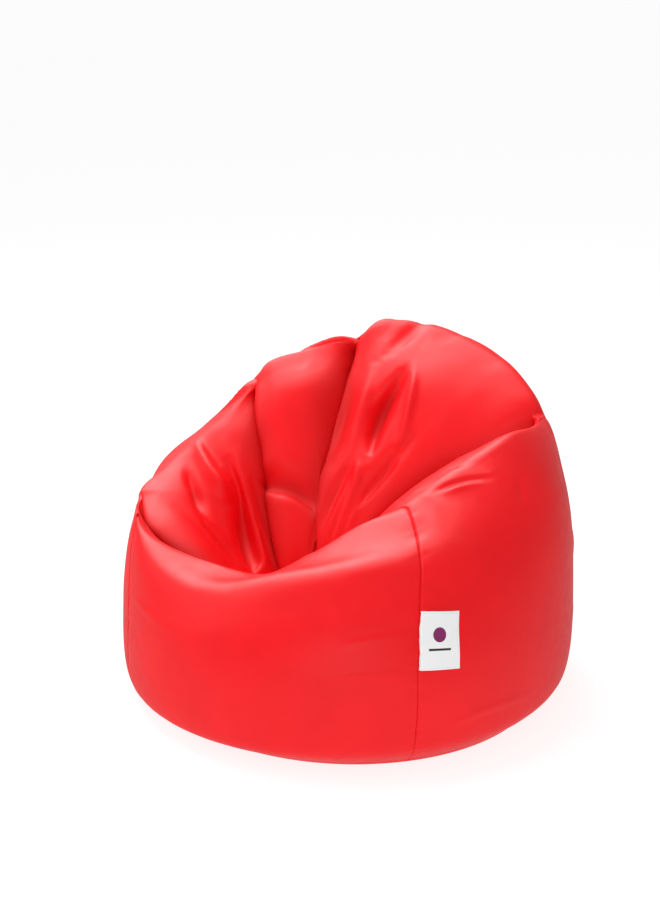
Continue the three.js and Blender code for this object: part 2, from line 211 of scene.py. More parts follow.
# deep folds that run down into the seat:
# (bearing, s, depth, reach on the left, reach on the right, how far the right side lies over)
FOLDS = {
    'lip': [
        (131, .572, .006, .012, .012, 0), (129, .600, .030, .018, .014, .004),
        (126, .64, .054, .024, .022, .006), (123.5, .68, .066, .030, .030, .006),
        (124, .745, .068, .034, .034, .004), (127.5, .817, .064, .034, .036, 0),
        (134, .875, .052, .034, .036, 0), (147, .93, .030, .030, .030, 0)],
    'right of centre': [
        (207, .585, .006, .02, .015, .004), (206, .615, .040, .03, .016, .012),
        (204.5, .69, .082, .045, .025, .022), (204, .76, .092, .045, .030, .026),
        (204.5, .837, .080, .045, .035, .024), (206, .90, .055, .04, .03, .018),
        (198, .97, .030, .03, .03, .01)],
    'left of centre': [
        (244.5, .575, .006, .020, .015, .004), (246, .615, .036, .030, .018, .008),
        (248.5, .70, .064, .036, .022, .022), (250.5, .79, .074, .040, .028, .022),
        (253, .86, .067, .040, .030, .020), (258, .94, .045, .03, .03, .012)],
    'left flap': [
        (295.5, .588, .003, .018, .016, 0), (299, .618, .022, .018, .018, .005),
        (306, .655, .050, .034, .022, .016), (314, .685, .060, .045, .028, .014),
        (324, .74, .064, .050, .034, .010), (333, .82, .056, .036, .040, 0), (342, .92, .035, .03, .03, 0)],
}
# shallow dents (+) and raised creases (-): (bearing, s, depth, half width)
DENTS = [
    # right lobe: a leaf-shaped hollow, the ridges beside it and the buckles below it
    [(173, .730, .003, .012), (173, .762, .022, .016), (174, .80, .034, .020), (173, .832, .028, .018),
     (168, .862, .004, .012)],
    [(170, .722, -.002, .010), (163, .765, -.010, .011), (156, .81, -.010, .011),
     (150, .848, -.003, .010)],
    [(189, .735, -.002, .010), (187, .79, -.011, .012), (185, .84, -.009, .012),
     (181, .872, -.002, .010)],
    [(149, .818, .003, .010), (152, .85, .015, .013), (157, .885, .018, .014), (164, .918, .004, .010)],
    [(177, .868, -.002, .010), (171, .885, -.010, .011), (165, .902, -.009, .011),
     (159, .925, -.002, .010)],
    [(178, .876, .003, .010), (184, .895, .019, .014), (189, .917, .019, .014), (193, .945, .004, .012)],
    [(198, .74, .002, .008), (196, .785, .010, .012), (195, .825, .014, .012), (197, .865, .003, .010)],
    [(180, .60, .002, .015), (182, .66, .008, .018), (187, .72, .002, .012)],
    # raised rims of the right and the centre lobe, along the folds that they lie over
    [(192.5, .53, 0, .024), (193.5, .56, -.006, .026), (195, .60, -.008, .026), (197.5, .64, -.006, .020),
     (199.5, .68, 0, .014)],
    [(203, .620, 0, .010), (200.5, .69, -.008, .011), (199.5, .76, -.011, .011),
     (199.5, .83, -.010, .012), (200, .89, -.003, .012)],
    [(243, .620, 0, .009), (244, .69, -.007, .010), (245.5, .77, -.008, .010),
     (247.5, .835, -.002, .010)],
    # left lobe: a wedge, the hollows either side of it, the roll that ends in a hook, and the pocket
    [(271, .620, -.004, .010), (273, .67, -.014, .014), (275, .72, -.022, .018), (276, .77, -.024, .019),
     (277.5, .815, -.003, .015)],
    [(279.5, .665, .002, .009), (283, .70, .014, .011), (287, .745, .022, .014), (292, .785, .010, .018),
     (296, .81, .002, .02)],
    [(267.5, .735, .002, .010), (270, .785, .012, .013), (273, .83, .022, .016), (278, .868, .026, .019),
     (288, .91, .010, .018)],
    [(263, .735, -.002, .012), (266, .79, -.011, .013), (268.5, .84, -.017, .013),
     (270, .885, -.019, .012), (274, .912, -.016, .011), (283, .916, -.011, .010), (295, .910, 0, .010)],
    [(306, .588, .003, .010), (312, .602, .020, .013), (318, .612, .024, .014), (325, .622, .010, .013),
     (331, .634, .002, .012)],
    # centre lobe: it buckles over itself
    [(257, .829, .010, .006), (249, .843, .022, .011), (236, .866, .032, .017), (218, .886, .028, .020),
     (206, .892, .008, .018)],
    # the front roll is full and turns down quickly
    [(-50, .50, 0, .040), (-25, .505, -.016, .040), (5, .51, -.022, .040), (35, .51, -.019, .040),
     (65, .50, 0, .040)],
    # the front: short strained wrinkles over the lip and beside the label
    [(66, .612, 0, .008), (72, .600, .005, .007), (79, .582, .005, .007), (87, .558, 0, .008)],
    [(69, .590, 0, .009), (76, .580, -.0035, .009), (84, .560, 0, .009)],
    [(92, .545, 0, .008), (90, .515, .003, .008), (88, .50, 0, .008)],
    [(26, .37, 0, .008), (36, .375, -.0025, .007), (45, .38, 0, .006)],
    [(20, .292, 0, .008), (31, .303, -.0025, .007), (44, .30, 0, .006)],
    # the sides and the back: long drag lines towards the seams and the base
    [(53, .170, 0, .009), (66, .186, -.0028, .010), (84, .172, 0, .009)],
    [(108, .350, 0, .010), (122, .368, -.0035, .010), (136, .362, 0, .008)],
    [(112, .235, 0, .010), (124, .240, -.0030, .010), (136, .232, 0, .009)],
    [(138, .415, 0, .009), (152, .435, -.0040, .011), (170, .452, 0, .010)],
    [(139, .290, 0, .009), (156, .302, -.0032, .011), (172, .296, 0, .010)],
    [(176, .520, 0, .012), (188, .500, -.0042, .012), (203, .505, 0, .010)],
    [(190, .345, 0, .010), (208, .358, -.0036, .011), (225, .350, 0, .009)],
    [(186, .150, 0, .009), (204, .168, -.0030, .010), (225, .160, 0, .009)],
    [(229, .400, 0, .009), (242, .418, -.0042, .011), (258, .442, 0, .010)],
    [(229, .285, 0, .009), (246, .292, -.0034, .011), (262, .284, 0, .010)],
    [(262, .520, 0, .012), (276, .502, -.0044, .013), (292, .512, 0, .012)],
    [(270, .180, 0, .010), (286, .192, -.0030, .010), (304, .184, 0, .009)],
    [(-42, .355, 0, .008), (-30, .362, -.0026, .009), (-16, .356, 0, .008)],
]
# lobes that swell between the folds: (bearing, s, height, radius)
LOBES = [(160, .72, .022, .10), (222, .74, .020, .06), (255, .72, .010, .06), (290, .70, .008, .06),
         (0, 1, -.12, .15), (-12, .63, .018, .12)]


def fold_surface(b, s):
    """The folded cover, the depth that clears every crease, for what is inside, and how creased it is."""
    P = smooth_surface(b, s)
    N = normals(P)
    # round the crown the leather sinks straight down
    w = smoothstep(s, .78, .93)[None, :, None]
    N = N*(1 - w) + np.array([0, 0, 1.])*w
    N /= np.linalg.norm(N, axis=-1, keepdims=True)
    power = np.zeros(P.shape[:2])
    slide = np.zeros_like(P)
    for points in FOLDS.values():
        path, cols = line(points)
        m = close_to(P, path, .25)
        x, along, across = to_path(P[m], N[m], path)
        D, wl, wr, over = (column(cols, along, k) for k in range(4))
        w = np.where(x < 0, wl, wr)
        power[m] += (D*np.exp(-np.sqrt(x*x + .003**2)/w))**2.5
        g = np.clip(x, 0, None)/.015
        slide[m] -= (over*g*np.exp(1 - g))[:, None]*across
    depth = power**(1/2.5)
    crease = smoothstep(depth, .008, .045)
    dent = np.zeros_like(depth)
    for points in DENTS:
        path, cols = line(points)
        m = close_to(P, path, .07)
        x, along, across = to_path(P[m], N[m], path)
        dent[m] += column(cols, along, 0)*np.exp(-(x/column(cols, along, 1))**2)
    depth += dent
    crease = np.maximum(crease, smoothstep(dent, .008, .035))
    for bb, ss, h, r in LOBES:
        q = spot(bb, ss)
        depth -= h*np.exp(-((P - q)**2).sum(-1)/r**2)
    cover = P - N*depth[..., None] + slide
    # what is inside keeps clear of every crease
    clear = depth.copy()
    for _ in range(12):
        clear = np.maximum(np.maximum(clear, np.roll(clear, 1, 0)), np.roll(clear, -1, 0))
        clear[:, 1:-1] = np.maximum(np.maximum(clear[:, 1:-1], clear[:, :-2]), clear[:, 2:])
    for _ in range(12):
        clear = (clear + np.roll(clear, 1, 0) + np.roll(clear, -1, 0))/3
        clear[:, 1:-1] = (clear[:, :-2] + clear[:, 1:-1] + clear[:, 2:])/3
    return cover, np.maximum(clear, depth), crease


NB, NS = 720, 400
GB, GS = np.arange(NB)*360./NB, np.linspace(0, 1, NS)
MASTER, CLEAR, CREASE = fold_surface(GB, GS)


def sample(grid, b, s):
    """Bicubic look-up in a grid over b and s: every b with every s, or point by point if b is 2-D."""
    b, s = np.asarray(b, float), np.asarray(s, float)
    if b.ndim == 1:
        b = b[:, None] + 0*s[None]
    if s.ndim == 1:
        s = s[None] + 0*b
    fb, fs = np.mod(b, 360)*NB/360, np.clip(s, 0, 1)*(NS - 1)
    ib, js = np.floor(fb).astype(int), np.clip(np.floor(fs).astype(int), 0, NS - 2)
    wb, ws = ([-.5*u**3 + u**2 - .5*u, 1.5*u**3 - 2.5*u**2 + 1,
               -1.5*u**3 + 2*u**2 + .5*u, .5*u**3 - .5*u**2] for u in (fb - ib, fs - js))
    return sum(grid[(ib + k - 1) % NB, np.clip(js + m - 1, 0, NS - 1)]*(wb[k]*ws[m])[..., None]
               for k in range(4) for m in range(4))


def mesh_object(name, verts, faces):
    me = bpy.data.meshes.new(name)
    me.from_pydata([tuple(v) for v in verts], [], faces)
    me.update()
    me.polygons.foreach_set('use_smooth', [True]*len(me.polygons))
    ob = bpy.data.objects.new(name, me)
    bpy.context.scene.collection.objects.link(ob)
    return ob


def shade_creases(ob, values):
    """Give every point its share of crease, 0 to 1, which the leather reads to paint shade into its colour
    and to roughen its gloss.
    """
    crease = ob.data.attributes.new('crease', 'FLOAT', 'POINT')
    crease.data.foreach_set('value', values.reshape(-1).astype(np.float32))


def grid_faces(n, m, loop=False):
    """The quads of an n by m grid of points, closed round its first direction if loop is true."""
    i, j = np.meshgrid(np.arange(n if loop else n - 1), np.arange(m - 1), indexing='ij')
    a, c = i*m + j, ((i + 1) % n)*m + j
    return np.stack([a, c, c + 1, a + 1], -1).reshape(-1, 4).tolist()


# ---------------------------------------------------------------- cloth: the leather settles over its beads
def settle(frames=18, pressure=4., bending=1.):
    """How far each point of MASTER moves when the folded cover is let go under the beads' pressure."""
    nb, ns = 240, 170
    sb, ss = np.arange(nb)*360./nb, np.linspace(0, .985, ns)
    start = sample(MASTER, sb, ss)
    ob = mesh_object('settling', start.reshape(-1, 3), grid_faces(nb, ns, True))
    pin = ob.vertex_groups.new(name='pin')
    held = [i*ns + k for i in range(nb) for k in (0, 1, 2, ns - 2, ns - 1)]
    pin.add(held, 1., 'REPLACE')
    mod = ob.modifiers.new('settle', 'CLOTH')
    st = mod.settings
    st.quality, st.mass, st.air_damping = 6, .25, 1
    st.tension_stiffness = st.compression_stiffness = 20
    st.shear_stiffness, st.bending_stiffness, st.bending_model = 8, bending, 'ANGULAR'
    st.use_pressure, st.uniform_pressure_force = True, pressure
    st.vertex_group_mass, st.effector_weights.gravity = 'pin', 0
    mod.collision_settings.use_collision = False
    scene = bpy.context.scene
    mod.point_cache.frame_start, mod.point_cache.frame_end = 1, frames
    for f in range(1, frames + 1):
        scene.frame_set(f)
    seen = ob.evaluated_get(bpy.context.evaluated_depsgraph_get())
    places = np.empty(nb*ns*3, np.float32)
    seen.data.vertices.foreach_get('co', places)
    D = places.reshape(nb, ns, 3).astype(float) - start
    scene.frame_set(1)
    bpy.data.objects.remove(ob, do_unlink=True)
    # the broad shape stays as it is: only creases and buckles are kept
    B = D.copy()
    for _ in range(60):
        B = (B + np.roll(B, 1, 0) + np.roll(B, -1, 0))/3
        C = np.concatenate([B[:, :1], B, B[:, -1:]], 1)
        B = (C[:, :-2] + C[:, 1:-1] + C[:, 2:])/3
    D = D - .88*B
    L = np.linalg.norm(D, axis=-1, keepdims=True)
    cap = .022
    D *= cap*np.tanh(L/cap)/np.maximum(L, 1e-9)
    fb = GB*nb/360
    ib, ub = fb.astype(int), (fb - fb.astype(int))[:, None, None]
    fs = np.clip(GS/.985, 0, 1)*(ns - 1)
    js = np.clip(fs.astype(int), 0, ns - 2)
    us = (fs - js)[None, :, None]
    R = D[ib % nb]*(1 - ub) + D[(ib + 1) % nb]*ub
    return R[:, js]*(1 - us) + R[:, js + 1]*us


def near_points(spots):
    """0 to 1 near any of (bearing, s, radius) spots."""
    P = smooth_surface(GB, GS)
    w = np.zeros(P.shape[:2])
    for bb, ss, r in spots:
        q = spot(bb, ss)
        w = np.maximum(w, np.exp(-((P - q)**2).sum(-1)/r**2))
    return w


MOVE = settle()
# how much of the settling shows: most in the seat, little on the tight outside and round the lip
keep = .15 + .25*smoothstep(GS, .50, .66)[None, :]
TAUT = [(-35, .60, .12), (0, .58, .12), (25, .56, .10), (122, .62, .14), (150, .66, .12)]
keep = keep*(1 - .8*near_points(TAUT))
MOVE *= keep[..., None]
MASTER = MASTER + MOVE


def within(gap):
    """A skin at least gap inside every crease: each point moves to the middle of the stuffing under it."""
    P = smooth_surface(GB, GS)
    ridge = periodic(RIDGE, GB)
    middle = polar(GB, .45*ridge[:, 0] + .209, .45*ridge[:, 1])[:, None]
    w = smoothstep(GS, .72, .93)[None, :, None]
    middle = middle*(1 - w) + np.stack([P[..., 0]*1.2, P[..., 1]*1.2, 0*P[..., 2] + .03], -1)*w
    way = middle - P
    far = np.linalg.norm(way, axis=-1, keepdims=True)
    return P + way*np.clip((1.15*CLEAR[..., None] + gap)/far, 0, .8)


# the liner and the beads lie this far inside the creases
LINER, CORE = within(.010), within(.017)

# ---------------------------------------------------------------- materials
# how far a crease darkens the leather's colour, as painted shade, and how much rougher it is there
CREASE_SHADE, CREASE_DULL = .58, .25


def material(name, colour, rough, metal=0., gloss=.5):
    """A new material, its node tree and its shader."""
    m = bpy.data.materials.new(name)
    m.use_nodes = True
    shader = m.node_tree.nodes['Principled BSDF']
    shader.inputs['Base Color'].default_value = (*colour, 1)
    shader.inputs['Roughness'].default_value = rough
    shader.inputs['Metallic'].default_value = metal
    shader.inputs['Specular IOR Level'].default_value = gloss
    return m, m.node_tree, shader


def node(tree, kind, **values):
    """A new node with these inputs or properties."""
    n = tree.nodes.new(kind)
    for k, v in values.items():
        if k in n.inputs:
            n.inputs[k].default_value = v
        else:
            setattr(n, k, v)
    return n


def leather(name, colour, dark, rough, gloss=.5):
    """Coated fabric: fine pebble grain, faint large mottling, slightly uneven gloss, and shade painted into
    the creases.
    """
    m, tree, shader = material(name, colour, rough, gloss=gloss)
    coords = node(tree, 'ShaderNodeTexCoord')
    grain = node(tree, 'ShaderNodeTexVoronoi', feature='SMOOTH_F1', Scale=620.)
    fine = node(tree, 'ShaderNodeTexNoise', Scale=1500., Detail=2.)
    broad = node(tree, 'ShaderNodeTexNoise', Scale=9., Detail=3.)
    worn = node(tree, 'ShaderNodeTexNoise', Scale=38., Detail=4.)
    for n in (grain, fine, broad, worn):
        tree.links.new(coords.outputs['Object'], n.inputs['Vector'])
    mix = node(tree, 'ShaderNodeMix', data_type='RGBA')
    ramp = node(tree, 'ShaderNodeMapRange')
    ramp.inputs['From Min'].default_value, ramp.inputs['From Max'].default_value = .35, .70
    tree.links.new(broad.outputs['Fac'], ramp.inputs['Value'])
    tree.links.new(ramp.outputs['Result'], mix.inputs['Factor'])
    mix.inputs['A'].default_value, mix.inputs['B'].default_value = (*colour, 1), (*dark, 1)
    # where it is creased the colour is darkened as painted shade, and the gloss is rubbed off
    crease = node(tree, 'ShaderNodeAttribute', attribute_name='crease')
    part = node(tree, 'ShaderNodeMath', operation='MULTIPLY')
    part.inputs[1].default_value = CREASE_SHADE
    tree.links.new(crease.outputs['Fac'], part.inputs[0])
    painted_shade = node(tree, 'ShaderNodeMix', data_type='RGBA')
    # the colour of the shade painted into the creases: half the red, no green or blue
    painted_shade.inputs['B'].default_value = (colour[0]*.50, 0, 0, 1)
    tree.links.new(part.outputs['Value'], painted_shade.inputs['Factor'])
    tree.links.new(mix.outputs['Result'], painted_shade.inputs['A'])
    tree.links.new(painted_shade.outputs['Result'], shader.inputs['Base Color'])
    shine = node(tree, 'ShaderNodeMapRange')
    shine.inputs['From Min'].default_value, shine.inputs['From Max'].default_value = .3, .7
    shine.inputs['To Min'].default_value, shine.inputs['To Max'].default_value = rough - .04, rough + .05
    tree.links.new(worn.outputs['Fac'], shine.inputs['Value'])
    dull = node(tree, 'ShaderNodeMath', operation='MULTIPLY_ADD')
    dull.inputs[1].default_value = CREASE_DULL
    tree.links.new(crease.outputs['Fac'], dull.inputs[0])
    tree.links.new(shine.outputs['Result'], dull.inputs[2])
    tree.links.new(dull.outputs['Value'], shader.inputs['Roughness'])
    add = node(tree, 'ShaderNodeMath', operation='MULTIPLY_ADD')
    add.inputs[1].default_value = .35
    tree.links.new(fine.outputs['Fac'], add.inputs[0])
    tree.links.new(grain.outputs['Distance'], add.inputs[2])
    bump = node(tree, 'ShaderNodeBump', Strength=.22, Distance=.0006)
    tree.links.new(add.outputs['Value'], bump.inputs['Height'])
    tree.links.new(bump.outputs['Normal'], shader.inputs['Normal'])
    return m


def woven(name, colour, dark, rough, scale):
    """Plain weave from two crossed sets of waves."""
    m, tree, shader = material(name, colour, rough)
    coords = node(tree, 'ShaderNodeTexCoord')
    a = node(tree, 'ShaderNodeTexWave', bands_direction='X', Scale=scale, Distortion=.6)
    b = node(tree, 'ShaderNodeTexWave', bands_direction='Y', Scale=scale, Distortion=.6)
    c = node(tree, 'ShaderNodeTexWave', bands_direction='Z', Scale=scale, Distortion=.6)
    for n in (a, b, c):
        tree.links.new(coords.outputs['Object'], n.inputs['Vector'])
    ab = node(tree, 'ShaderNodeMath', operation='MAXIMUM')
    abc = node(tree, 'ShaderNodeMath', operation='MULTIPLY')
    tree.links.new(a.outputs['Fac'], ab.inputs[0])
    tree.links.new(b.outputs['Fac'], ab.inputs[1])
    tree.links.new(ab.outputs['Value'], abc.inputs[0])
    tree.links.new(c.outputs['Fac'], abc.inputs[1])
    mix = node(tree, 'ShaderNodeMix', data_type='RGBA')
    mix.inputs['A'].default_value, mix.inputs['B'].default_value = (*dark, 1), (*colour, 1)
    tree.links.new(abc.outputs['Value'], mix.inputs['Factor'])
    tree.links.new(mix.outputs['Result'], shader.inputs['Base Color'])
    bump = node(tree, 'ShaderNodeBump', Strength=.4, Distance=.0003)
    tree.links.new(abc.outputs['Value'], bump.inputs['Height'])
    tree.links.new(bump.outputs['Normal'], shader.inputs['Normal'])
    return m


def brushed(name, colour, rough):
    """Metal with a fine uneven finish."""
    m, tree, shader = material(name, colour, rough, 1.)
    coords = node(tree, 'ShaderNodeTexCoord')
    n = node(tree, 'ShaderNodeTexNoise', Scale=900., Detail=3.)
    tree.links.new(coords.outputs['Object'], n.inputs['Vector'])
    r = node(tree, 'ShaderNodeMapRange')
    r.inputs['To Min'].default_value, r.inputs['To Max'].default_value = rough - .08, rough + .12
    tree.links.new(n.outputs['Fac'], r.inputs['Value'])
    tree.links.new(r.outputs['Result'], shader.inputs['Roughness'])
    bump = node(tree, 'ShaderNodeBump', Strength=.15, Distance=.0002)
    tree.links.new(n.outputs['Fac'], bump.inputs['Height'])
    tree.links.new(bump.outputs['Normal'], shader.inputs['Normal'])
    return m


LEATHER = leather('red_faux_leather', (.88, .0040, .0085), (.82, .0030, .007), .40, .30)
THREAD = woven('red_thread', (.62, .006, .010), (.40, .003, .006), .6, 900.)
TAPE = woven('red_zip_tape', (.45, .006, .012), (.22, .003, .006), .8, 700.)
NYLON = leather('red_nylon', (.38, .006, .012), (.30, .005, .010), .38)
LABEL = woven('white_label', (.97, .97, .97), (.90, .90, .90), .55, 800.)
PLUM = woven('plum_weave', (.30, .015, .16), (.18, .008, .09), .6, 800.)
CHARCOAL = woven('charcoal_weave', (.05, .045, .05), (.02, .02, .02), .6, 800.)
CLOTH = woven('liner_cloth', (.80, .77, .70), (.62, .59, .53), .9, 420.)
BEADS = leather('eps_beads', (.86, .86, .84), (.78, .78, .76), .8)
LABEL_THREAD = woven('white_thread', (.86, .86, .85), (.7, .7, .69), .6, 900.)
STEEL = brushed('zip_steel', (.60, .60, .62), .32)


def piece(ob, mat, *replaces, slot=None):
    """Give a piece its material, make it ride on the bag, and hide the model's parts that it replaces."""
    ob.data.materials.append(mat)
    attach(ob, 'bag')
    if replaces:
        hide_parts(*replaces)
    return ob


# ---------------------------------------------------------------- the cover
def grid_normals(Q):
    N = np.cross(np.gradient(Q, axis=0), np.gradient(Q, axis=1))
    return N/np.maximum(np.linalg.norm(N, axis=-1, keepdims=True), 1e-12)


def from_edges(Q):
    """How far each point of a grid lies from its first and from its last line of points."""
    step = np.linalg.norm(np.diff(Q, axis=0), axis=-1)
    run = np.concatenate([np.zeros((1, Q.shape[1])), np.cumsum(step, 0)])
    return run, run[-1][None] - run


def wobble(x, seed):
    """Smooth repeatable noise in x, about -1 to 1."""
    rng = np.random.default_rng(seed)
    y = 0*x
    for k in range(5):
        y = y + np.sin(x*(1 + 1.37*k + .3*rng.random())*6.283 + 6.283*rng.random())/(1 + .45*k)
    return y/2.2


# a gore's grid: its columns lie closer together near both seams, and RUN is how far up each row is
NEAR_SEAM = .8*np.array([0, .0017, .0034, .0055, .008, .0115, .0155, .020, .026, .033, .041])
COLUMNS = np.concatenate([NEAR_SEAM, np.linspace(.040, .960, 128), 1 - NEAR_SEAM[::-1]])
ROWS = np.linspace(0, CAP_S, 400)
SEAM_B = 47.2
UP_THE_FRONT = sample(MASTER, np.array([SEAM_B]), ROWS)[0]
RUN = np.cumsum(np.r_[0, np.linalg.norm(np.diff(UP_THE_FRONT, axis=0), axis=-1)])


def seam_sink(d, run, seed):
    """How far the leather sinks at distance d from a seam: a narrow groove and gathers that die away."""
    groove = .0026*np.exp(-(d/.0026)**2)
    fine = .0007*wobble(run/.070, seed)*np.exp(-d/.014)
    gathers = .0018*np.clip(wobble(run/.26, seed + 9), 0, 1)*np.exp(-((d - .004)/.016)**2)
    return groove + fine + gathers


GORES = ['gore_right', 'gore_back', 'gore_left', 'gore_front']
TURN_START, TURN_IN = .0025, .007
SHEETS = {}


def panel(name, Q, mat, node_name, slot, loop=False):
    """A cloth piece on the grid of points Q, kept in SHEETS."""
    ob = mesh_object(name, Q.reshape(-1, 3), grid_faces(*Q.shape[:2], loop))
    SHEETS[ob] = Q
    return piece(ob, mat, node_name, slot=slot)


for k, name in enumerate(GORES):
    bb = (1 - COLUMNS)[:, None]*seam_at(k, ROWS)[None] + COLUMNS[:, None]*seam_at(k + 1, ROWS)[None]
    Q = sample(MASTER, bb, ROWS)
    N = grid_normals(Q)
    from_first, from_last = from_edges(Q)
    sink = seam_sink(from_first, RUN[None], 20 + k) + seam_sink(from_last, RUN[None], 20 + (k + 1) % 4)
    fade = smoothstep(ROWS, 0, .02)*(1 - .6*smoothstep(ROWS, .85, .94))
    rim = .0008*np.exp(-((CAP_S - ROWS)*1.2/.0025)**2)
    Q = Q - N*(sink*fade[None] + rim[None])[..., None]
    # both edges turn in at the seam and are sewn to the next gore's
    Q = np.concatenate([[Q[0] - N[0]*TURN_IN, Q[0] - N[0]*TURN_START], Q,
                        [Q[-1] - N[-1]*TURN_START, Q[-1] - N[-1]*TURN_IN]])
    ob = panel(name + '_cover', Q, LEATHER, name, 'leather_red')
    shade_creases(ob, sample(CREASE[..., None], bb[[0, 0, *range(len(bb)), -1, -1]], ROWS))
cap_s = np.linspace(CAP_S, 1, 26)
Q = sample(MASTER, np.arange(240)*1.5, cap_s)
Q[..., 2] -= (.0008*np.exp(-((cap_s - CAP_S)*1.2/.0025)**2))[None]
ob = panel('crown_cover', Q, LEATHER, 'crown_cap', 'leather_red', True)
shade_creases(ob, sample(CREASE[..., None], np.arange(240)*1.5, cap_s))

# ---------------------------------------------------------------- the base, in two halves along the zip
SLOT_X, SLOT_Y, HEM_TOP = .280, .011, .0090
BASE_Z = .0009
STITCH_ROWS, STITCH_PITCH = (.0035, .0075), .0042


def base_half(side):
    """Points of one half of the base: side is 1 behind the zip and -1 in front of it."""
    b = (180 if side > 0 else 0) + np.linspace(-90, 90, 241)
    x, yo = base_radius(b)*np.sin(b*RAD), np.abs(base_radius(b)*np.cos(b*RAD))
    end = smoothstep(np.abs(x), SLOT_X - .001, SLOT_X + .004)
    yi = np.minimum(SLOT_Y*(1 - end) + .0003*end, yo)
    t = np.linspace(0, 1, 60)**1.3
    y = yi[:, None] + (yo - yi)[:, None]*t[None]
    run = y - yi[:, None]
    puckers = np.clip(wobble(x[:, None]/.11 + .2*t, 71 + side), 0, 1)*np.exp(-((run - .012)/.02)**2)
    z = BASE_Z + .0016*puckers
    rim = smoothstep(t, .72, .93)*(1 - smoothstep(t, .96, 1))
    z = z + .0020*np.clip(wobble((b[:, None] + 6*t)/17., 77 + side), 0, 1)*rim
    z = z*(1 - smoothstep(t, .985, 1)) + .0003
    P = np.stack([x[:, None] + 0*y, side*y, z], -1)
    # the turned-up hem along the slot
    up_z = (HEM_TOP - .0006)*(1 - end)
    hem = [np.stack([x, side*(yi + bulge), BASE_Z + up_z*h], -1) for h, bulge in
           ((1, .0016), (1, .0004), (.8, .0), (.5, -.0001), (.2, .0), (.06, .0002))]
    return np.concatenate([np.stack(hem, 1), P], 1)


def stitches(name, points, normal, length=.0032, wide=.00045):
    """A row of thread: one small rounded bar for each pair of points."""
    verts, faces = [], []
    for (a, c), n in zip(points, normal):
        a, c = np.array(a), np.array(c)
        d = (c - a)/np.linalg.norm(c - a)
        w = np.cross(d, n)
        mid, half = (a + c)/2, min(length, .8*np.linalg.norm(c - a))/2
        start = len(verts)
        for along, r in ((-half, .25), (-half*.75, .85), (0, 1.1), (half*.75, .85), (half, .25)):
            for m in range(6):
                q = 2*math.pi*m/6
                verts.append(mid + d*along + (w*math.cos(q) + n*math.sin(q))*r*wide)
        for r in range(4):
            for m in range(6):
                e, f = start + r*6 + m, start + r*6 + (m + 1) % 6
                faces.append((e, f, f + 6, e + 6))
        faces.append(tuple(start + m for m in range(5, -1, -1)))
        faces.append(tuple(start + 24 + m for m in range(6)))
    return mesh_object(name, verts, faces)


def stitch_row(line_points, pitch):
    """Pairs of points along a polyline, a stitch apart."""
    q = np.asarray(line_points)
    run = np.r_[0, np.cumsum(np.linalg.norm(np.diff(q, axis=0), axis=-1))]
    s = np.arange(0, run[-1], pitch)
    p = np.stack([np.interp(s, run, q[:, i]) for i in range(3)], -1)
    return list(zip(p[:-1], p[1:]))


DOWN = np.array([0, 0, -1.])
for name, side in (('base_half_back', 1), ('base_half_front', -1)):
    Q = base_half(side)
    if side < 0:
        Q = Q[::-1]
    panel(name + '_cover', Q, LEATHER, name, 'leather_red')
    rows = []
    for off in STITCH_ROWS:
        x = np.linspace(-SLOT_X, SLOT_X, 400)
        rows += stitch_row(np.stack([x, side*(SLOT_Y + off + 0*x), BASE_Z + 0*x], -1), STITCH_PITCH)
    piece(stitches(name + '_stitching', rows, [DOWN]*len(rows)), THREAD)

# ---------------------------------------------------------------- the zip
TAPE_HALF, TAPE_IN, TAPE_OUT, TAPE_Z = .288, .0010, .0158, .0096
COIL_START, COIL_PITCH, COIL_TURNS, COIL_R = -.266, .002, 266, .00038
for name, side in (('zip_tape_back', 1), ('zip_tape_front', -1)):
    x, y = np.linspace(-TAPE_HALF, TAPE_HALF, 420), np.linspace(TAPE_IN, TAPE_OUT, 12)
    z = TAPE_Z + .00016*np.sin(x[:, None]*190 + side) + .00010*np.sin(x[:, None]*523 + y[None]*300)
    Q = np.stack([x[:, None] + 0*y, side*y[None] + 0*x[:, None], z], -1)
    if side > 0:
        Q = Q[::-1]
    panel(name + '_weave', Q, TAPE, name, 'zip_tape_red')


def tube(name, path, radius, sides=6):
    """A round thread along a path, closed at both ends."""
    path = np.asarray(path, float)
    T = np.gradient(path, axis=0)
    T /= np.linalg.norm(T, axis=-1, keepdims=True)
    u = np.cross(T[0], [1, 0, 0.3])
    verts = []
    for p, t in zip(path, T):
        u = u - t*np.dot(u, t)
        u /= np.linalg.norm(u)
        w = np.cross(t, u)
        for m in range(sides):
            q = 2*math.pi*m/sides
            verts.append(p + radius*(u*math.cos(q) + w*math.sin(q)))
    n = len(path)
    faces = [(i*sides + m, i*sides + (m + 1) % sides, (i + 1)*sides + (m + 1) % sides, (i + 1)*sides + m)
             for i in range(n - 1) for m in range(sides)]
    faces += [tuple(range(sides - 1, -1, -1)), tuple((n - 1)*sides + m for m in range(sides))]
    return mesh_object(name, verts, faces)


for name, side, shift in (('zip_coil_back', 1, 0.), ('zip_coil_front', -1, COIL_PITCH/2)):
    # the heads stop short of the middle, where the slider's post runs
    turn = np.array([(-.0004, .0033, .0087), (-.0001, .0022, .0087), (0, .0014, .0086), (0, .0011, .0083),
                     (0, .0010, .0079), (0, .0011, .0075), (0, .0014, .0072), (.0001, .0022, .0071),
                     (.0004, .0031, .0071), (.0009, .0036, .0077), (.0013, .0036, .0083)])
    path = np.concatenate([turn*(1, side, 1) + (COIL_START + shift + COIL_PITCH*i, 0, 0)
                           for i in range(COIL_TURNS)])
    piece(tube(name + '_nylon', path, COIL_R), NYLON, name, slot='zip_coil_red')
for name in ('zip_slider', 'zip_puller', 'zip_stop_closed_end', 'zip_stop_open_end'):
    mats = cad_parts[name].data.materials
    mats.clear()
    mats.append(STEEL)

